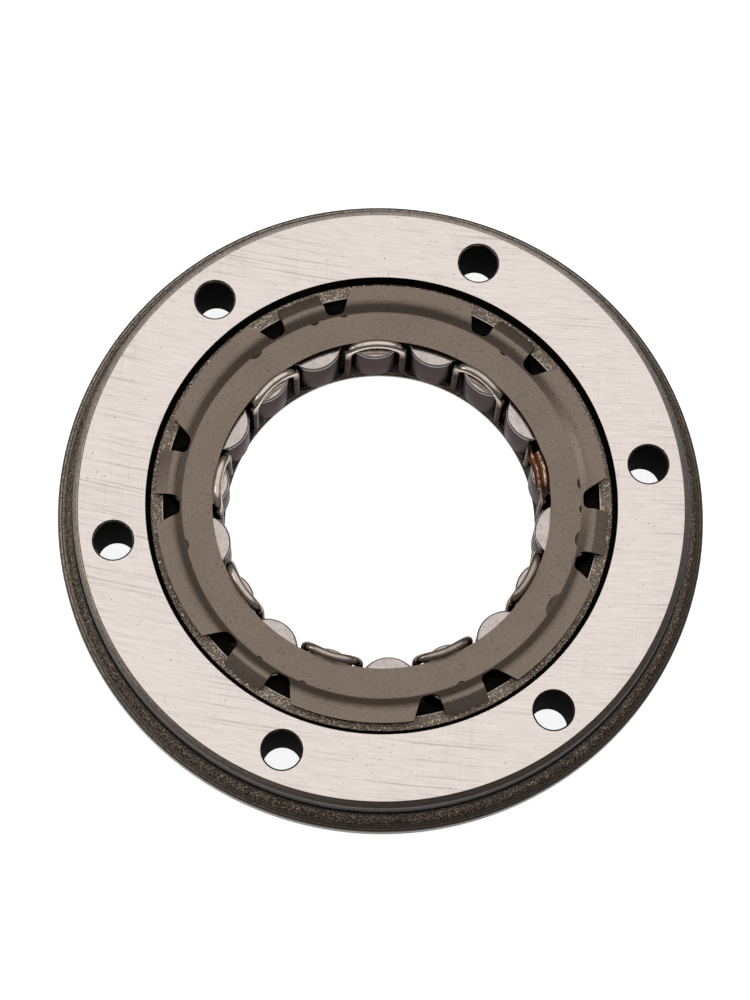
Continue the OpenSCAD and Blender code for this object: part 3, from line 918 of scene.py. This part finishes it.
class CLUTCH_OT_spring(bpy.types.Operator):
    """Builds the accordion spring from one wire with lapped ends"""
    bl_idname = "clutch.spring"
    bl_label = "Accordion spring"

    def execute(self, context):
        size, finish = context.scene.clutch.spring, context.scene.clutch.finish
        chance = random.Random(7)
        front, rear = bend_steps(size.front_square), bend_steps(size.rear_square)
        lower = [size.lap_start] + [x for x in front if x > size.lap_start]
        upper = [x for x in front if x < size.lap_end] + [size.lap_end]
        points = [bend_point(size, 0, x, size.lap_down, size.lap_in) for x in lower]
        for i in range(1, len(ROLLERS)):
            lift = chance.uniform(-1, 0) * size.unevenness
            points += [bend_point(size, i, x, lift=lift * (1 - x * x)) for x in (rear if i % 2 else front)]
        points += [bend_point(size, 0, x) for x in upper]
        centre = bend_point(size, 0, 0.05, size.lap_down / 2, size.lap_in / 2)
        wire = round_bar("spring_wire", points, [size.wire_r] * len(points), drawn_wire(finish, centre))
        dress(wire, "spring", "spring_wire", "accordion_spring")
        return {"FINISHED"}


class CLUTCH_OT_braze(bpy.types.Operator):
    """Builds the braze that joins the lapped ends of the wire"""
    bl_idname = "clutch.braze"
    bl_label = "Braze"

    def execute(self, context):
        size, finish = context.scene.clutch.spring, context.scene.clutch.finish
        chance = random.Random(3)
        beads, steps = bmesh.new(), 12
        material = copper_braze(finish)
        for side in (-1, 1):
            points, radii = [], []
            start, span = size.lap_start + 0.08, size.lap_end - size.lap_start - 0.12
            for k in range(steps + 1):
                x = start + span * k / steps
                upper = bend_point(size, 0, x)
                lower = bend_point(size, 0, x, size.lap_down, size.lap_in)
                along = bend_point(size, 0, x + 0.02) - bend_point(size, 0, x - 0.02)
                out = (lower - upper).cross(along).normalized()
                away = size.wire_r + size.bead_r * 0.6
                depth = math.sqrt(max(away ** 2 - (lower - upper).length_squared / 4, 0))
                points.append((upper + lower) / 2 + side * out * depth)
                radii.append(size.bead_r * chance.uniform(0.85, 1.15) * (0.5 if k in (0, steps) else 1))
            bead = round_bar("bead", points, radii, material)
            beads.from_mesh(bead.data)
            bpy.data.objects.remove(bead)
        braze = as_object("braze_beads", beads, [material])
        shade(braze, 60)
        dress(braze, "spring", "braze", "braze_joint")
        return {"FINISHED"}


class CLUTCH_OT_rollers(bpy.types.Operator):
    """Builds the rollers, each in its own pocket"""
    bl_idname = "clutch.rollers"
    bl_label = "Rollers"

    def execute(self, context):
        size, finish = context.scene.clutch.roller, context.scene.clutch.finish
        materials = [roller_end_steel(finish), roller_side_steel(finish), roller_edge_steel(finish)]
        for name in ROLLERS:
            low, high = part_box(name)
            middle = (low + high) / 2
            tall = high.z - low.z
            bm = bmesh.new()
            inner, soft = ROLLER_R - size.chamfer, size.rounding
            closed_outline(bm, [(0, 0, 0), (inner, 0, soft), (ROLLER_R, size.chamfer, soft),
                                (ROLLER_R, tall - size.chamfer, soft), (inner, tall, soft), (0, tall, 0)], 3)
            lathe(bm, size.steps)
            for face in bm.faces:
                up = abs(face.normal.z)
                face.material_index = END if up > 0.97 else EDGE if up > 0.1 else SIDE
            bmesh.ops.translate(bm, verts=bm.verts[:], vec=(middle.x, middle.y, low.z))
            roller = as_object("ground_" + name, bm, materials)
            shade(roller, 50)
            dress(roller, name, "roller_steel", name)
        return {"FINISHED"}


class CLUTCH_OT_stage(bpy.types.Operator):
    """Sets the floor, the lamps, the studio's own light and the camera"""
    bl_idname = "clutch.stage"
    bl_label = "Stage"

    def execute(self, context):
        size = context.scene.clutch.stage
        self.floor(size)
        self.lamp("left_softbox", size.left_energy, (-0.72, 0.05, 0.42), size.lamp_width)
        self.lamp("right_softbox", size.right_energy, (0.78, 0.05, 0.3), size.lamp_width)
        self.studio(context, size)
        self.camera(context, size)
        context.scene.view_settings.view_transform = "Standard"
        return {"FINISHED"}

    def floor(self, size):
        """Pale floor, which the camera and the metal see as white, with the part's shadow on it."""
        bm = bmesh.new()
        bmesh.ops.create_grid(bm, x_segments=1, y_segments=1, size=size.floor_size / 2)
        bmesh.ops.translate(bm, verts=bm.verts[:], vec=(0, 0, -0.02 * MM))
        material, tree, shader = new_material("Pale floor", Base_Color=(0.86, 0.86, 0.86, 1), Roughness=0.9)
        ray = add(tree, "ShaderNodeLightPath").outputs
        seen = plus(tree, plus(tree, ray["Is Camera Ray"], ray["Is Glossy Ray"]), ray["Is Transmission Ray"])
        shader.inputs["Emission Color"].default_value = (1, 1, 1, 1)
        tree.links.new(times(tree, seen, size.floor_glow), shader.inputs["Emission Strength"])
        floor = as_object("floor", bm, [material])

    def lamp(self, name, energy, place, width):
        """A square softbox that points at the part."""
        light = bpy.data.lights.new(name, "AREA")
        light.energy = energy
        light.size = width
        lamp = bpy.data.objects.new(name, light)
        bpy.context.scene.collection.objects.link(lamp)
        lamp.location = place
        lamp.rotation_euler = (-Vector(place)).to_track_quat("-Z", "Y").to_euler()

    def studio(self, context, size):
        """Even studio light from a wide screen overhead, which leans to the far side, and dim low down."""
        world = bpy.data.worlds.new("Studio")
        context.scene.world = world
        world.use_nodes = True
        tree = world.node_tree
        screen = (0, math.sin(size.sky_tilt), math.cos(size.sky_tilt))
        way = add(tree, "ShaderNodeTexCoord").outputs["Generated"]
        wide = add(tree, "ShaderNodeVectorMath", {0: way, 1: (0.75, 1, 1)}, operation="MULTIPLY").outputs[0]
        wide = add(tree, "ShaderNodeVectorMath", {0: wide}, operation="NORMALIZE").outputs[0]
        near = measure(tree, "DOT_PRODUCT", wide, screen)
        level = remap(tree, near, 0.66, 0.9, size.horizon, size.sky, interpolation_type="SMOOTHSTEP")
        tree.links.new(level, tree.nodes["Background"].inputs["Strength"])
        tree.nodes["Background"].inputs["Color"].default_value = (1, 1, 1, 1)

    def camera(self, context, size):
        """The camera of the photograph, fitted to the circles and bolt holes of the part."""
        eye = Vector((size.camera_x, size.camera_y, size.camera_z))
        aim = Vector((size.aim_x, size.aim_y, size.aim_z))
        lens = bpy.data.cameras.new("camera")
        lens.lens = size.lens
        lens.sensor_width = 36
        lens.clip_start = 0.01
        camera = bpy.data.objects.new("camera", lens)
        context.scene.collection.objects.link(camera)
        turn = (aim - eye).to_track_quat("-Z", "Y").to_matrix().to_4x4()
        camera.matrix_world = Matrix.Translation(eye) @ turn @ Matrix.Rotation(size.roll, 4, "Z")
        context.scene.camera = camera


OPERATORS = [CLUTCH_OT_race, CLUTCH_OT_side_plate, CLUTCH_OT_spring, CLUTCH_OT_braze, CLUTCH_OT_rollers,
             CLUTCH_OT_stage]


class CLUTCH_PT_build(bpy.types.Panel):
    """Lists the steps that build the clutch"""
    bl_idname = "CLUTCH_PT_build"
    bl_label = "Starter Clutch"
    bl_space_type = "VIEW_3D"
    bl_region_type = "UI"
    bl_category = "Clutch"

    def draw(self, context):
        for operator in OPERATORS:
            self.layout.operator(operator.bl_idname)
        for name in SETTINGS:
            box = self.layout.box()
            box.label(text=name.capitalize())
            group = getattr(context.scene.clutch, name)
            for key in group.bl_rna.properties.keys():
                if key not in ("rna_type", "name"):
                    box.prop(group, key)


CLASSES = [*SETTINGS.values(), ClutchSettings, *OPERATORS, CLUTCH_PT_build]


def register():
    for cls in CLASSES:
        bpy.utils.register_class(cls)
    bpy.types.Scene.clutch = PointerProperty(type=ClutchSettings)


def unregister():
    del bpy.types.Scene.clutch
    for cls in reversed(CLASSES):
        bpy.utils.unregister_class(cls)


def main():
    register()
    bpy.ops.clutch.stage()
    bpy.ops.clutch.race()
    bpy.ops.clutch.side_plate()
    bpy.ops.clutch.spring()
    bpy.ops.clutch.braze()
    bpy.ops.clutch.rollers()


if __name__ == "__main__":
    main()
